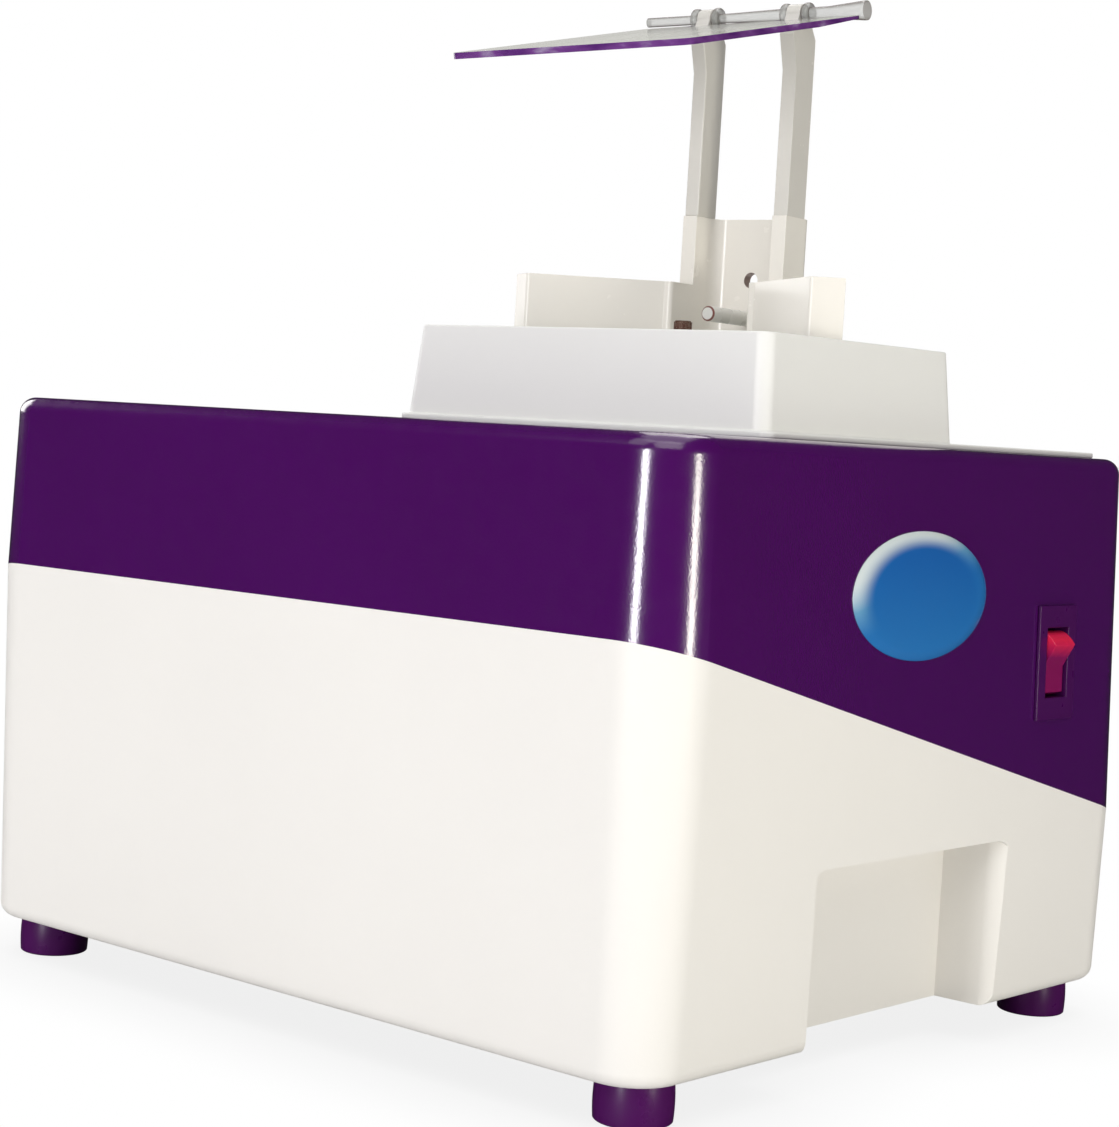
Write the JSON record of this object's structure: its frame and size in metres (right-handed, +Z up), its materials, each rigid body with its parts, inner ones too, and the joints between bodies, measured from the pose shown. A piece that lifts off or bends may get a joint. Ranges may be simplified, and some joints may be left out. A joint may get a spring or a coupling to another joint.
{
  "type": "bench-top wet glass grinder",
  "caption": "Bench-top wet grinder for craft glass: two-tone moulded housing on round feet, raised water tray, upright spindle, loose splash guard and tilting clear eye shield.",
  "frame": {"origin": "middle of the machine's outline, on the plane the feet stand on; the housing's middle is 1.5 mm to the left, because the rocker stands proud on the right", "axes": "+X the side with the switch, -Y the operator's side, +Z up"},
  "size_m": [0.3331, 0.287, 0.365],
  "materials": {
    "purple_shell": "gloss",
    "white_shell": "semi-gloss",
    "steel_sheet": "satin",
    "foot_rubber": "satin",
    "zinc_screw": "bright",
    "badge_blue": "gloss",
    "purple_bezel": "satin",
    "black_plastic": "satin",
    "rocker_red": "gloss",
    "brass": "satin",
    "painted_steel": "satin",
    "cast_metal": "as cast",
    "core_steel": "satin",
    "winding_copper": "varnished",
    "bright_steel": "polished",
    "seal_rubber": "satin",
    "bit_bond": "coarse",
    "tray_white": "semi-gloss",
    "grid_white": "semi-gloss",
    "guard_white": "semi-gloss",
    "peg_plastic": "gloss",
    "clear_plastic": "clear acrylic"
  },
  "bodies": {
    "housing": {"upper_housing": "purple_shell", "lower_housing": "white_shell", "base_plate": "steel_sheet", "foot_front_left": "foot_rubber", "foot_front_right": "foot_rubber", "foot_rear_left": "foot_rubber", "foot_rear_right": "foot_rubber", "foot_screws": "zinc_screw", "housing_screws": "zinc_screw", "badge": "badge_blue", "switch_frame": "purple_bezel", "switch_terminals": "brass", "cord_gland": "black_plastic", "gland_nut": "black_plastic", "motor_plate": "steel_sheet", "motor_plate_screws": "zinc_screw", "motor_can": "painted_steel", "motor_top_bell": "cast_metal", "motor_bottom_bell": "cast_metal", "motor_bolts": "zinc_screw", "stator_core": "core_steel", "stator_windings": "winding_copper", "top_bearing": "bright_steel", "bottom_bearing": "bright_steel"},
    "rocker": {"switch_rocker": "rocker_red"},
    "spindle": {"motor_shaft": "bright_steel", "rotor_core": "core_steel", "cooling_fan": "black_plastic", "shaft_seal": "seal_rubber", "bit_holder": "brass", "holder_screw": "zinc_screw", "grinding_bit": "bit_bond"},
    "tray": {"water_tray": "tray_white"},
    "grid": {"work_grid": "grid_white"},
    "guard": {"splash_guard": "guard_white", "sponge_peg": "peg_plastic"},
    "arms": {"left_arm": "guard_white", "right_arm": "guard_white"},
    "shield": {"shield_rod": "clear_plastic", "shield_plate": "clear_plastic", "rod_collars": "clear_plastic"}
  },
  "joints": [
    {"name": "rocker_tilt", "type": "hinge", "parent": "housing", "child": "rocker", "pos_m": [0.15626, 0.08236, 0.13583], "axis": [-0.007, 1, 0], "range_deg": [-30, 0]},
    {"name": "spindle_spin", "type": "hinge", "parent": "housing", "child": "spindle", "pos_m": [0.0665, -0.023, 0.2], "axis": [0, 0, 1], "continuous": true},
    {"name": "tray_lift", "type": "slide", "parent": "housing", "child": "tray", "axis": [0, 0, 1], "range_m": [0, 0.04]},
    {"name": "grid_lift", "type": "slide", "parent": "tray", "child": "grid", "axis": [0, 0, 1], "range_m": [0, 0.02]},
    {"name": "guard_lift", "type": "slide", "parent": "grid", "child": "guard", "axis": [0, 0, 1], "range_m": [0, 0.02]},
    {"name": "arms_pull", "type": "slide", "parent": "guard", "child": "arms", "axis": [0, 0, 1], "range_m": [0, 0.02]},
    {"name": "shield_tilt", "type": "hinge", "parent": "arms", "child": "shield", "pos_m": [0.06277, 0.0113, 0.3611], "axis": [0.9942, 0.108, 0], "range_deg": [-75, 0]}
  ]
}
